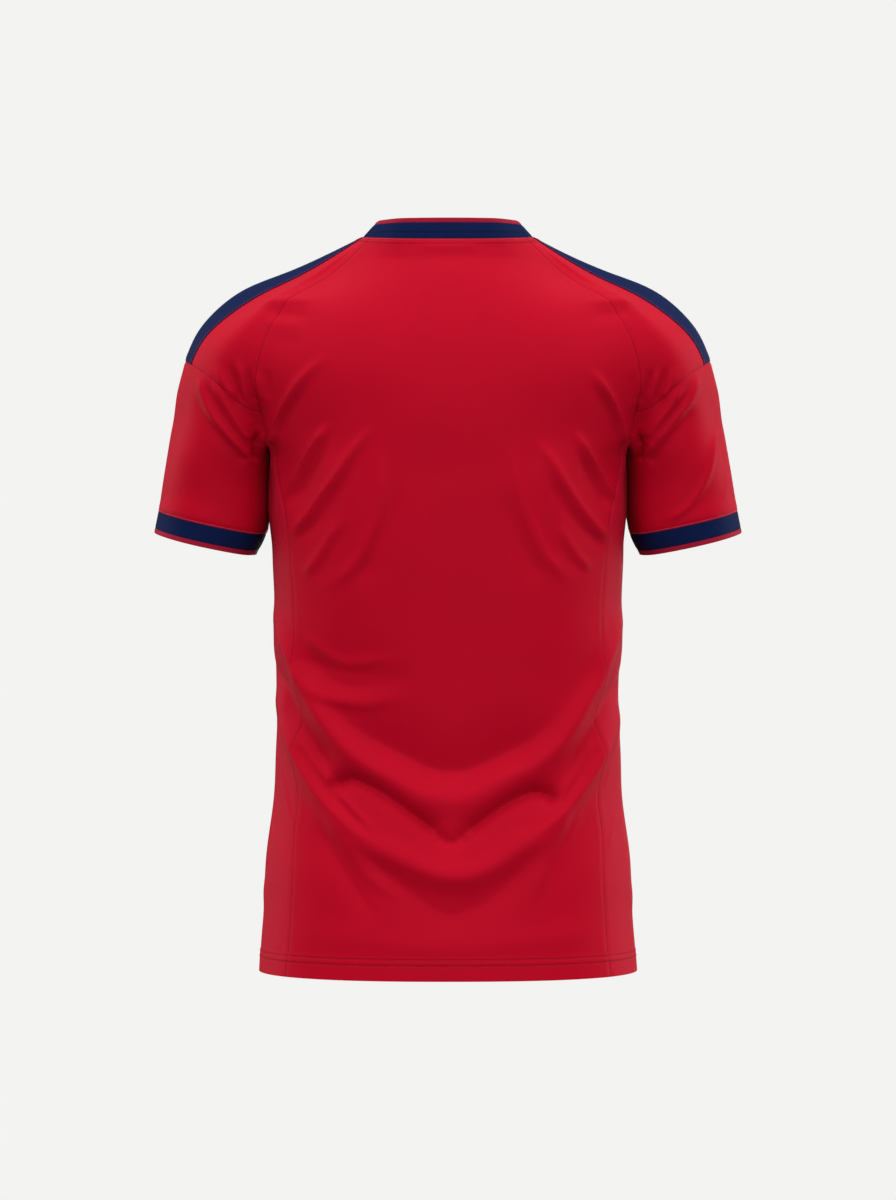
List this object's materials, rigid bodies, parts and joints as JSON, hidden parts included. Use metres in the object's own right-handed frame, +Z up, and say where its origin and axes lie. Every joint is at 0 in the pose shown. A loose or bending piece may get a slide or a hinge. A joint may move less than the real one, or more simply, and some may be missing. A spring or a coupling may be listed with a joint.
{
  "type": "football jersey",
  "caption": "Short-sleeved football jersey, filled out as worn, with a rib collar, rib cuffs, mesh side panels and a plain dark band along each shoulder.",
  "frame": {"origin": "middle of the neck at the height of the shoulders' highest point, where the wearer holds the jersey up", "axes": "+Z up along the wearer's body, +Y out of the chest (-Y out of the back), +X to the wearer's right"},
  "size_m": [0.5604, 0.2545, 0.7093],
  "materials": {
    "knit_red": "smooth matt polyester knit",
    "mesh_red": "fine-hole polyester mesh knit",
    "rib_navy": "fine diamond-textured rib knit",
    "edging_red": "folded knit edging",
    "band_navy": "applied knit band, matt"
  },
  "bodies": {
    "root": {"back_panel": "knit_red", "front_panel": "knit_red", "side_panel_left": "mesh_red", "side_panel_right": "mesh_red", "shoulder_panel_left": "knit_red", "shoulder_panel_right": "knit_red", "sleeve_left": "knit_red", "sleeve_right": "knit_red", "cuff_left": "rib_navy", "cuff_right": "rib_navy", "cuff_edge_left": "edging_red", "cuff_edge_right": "edging_red", "collar_band": "rib_navy", "collar_edge": "edging_red", "shoulder_band_left": "band_navy", "shoulder_band_right": "band_navy"}
  },
  "joints": []
}
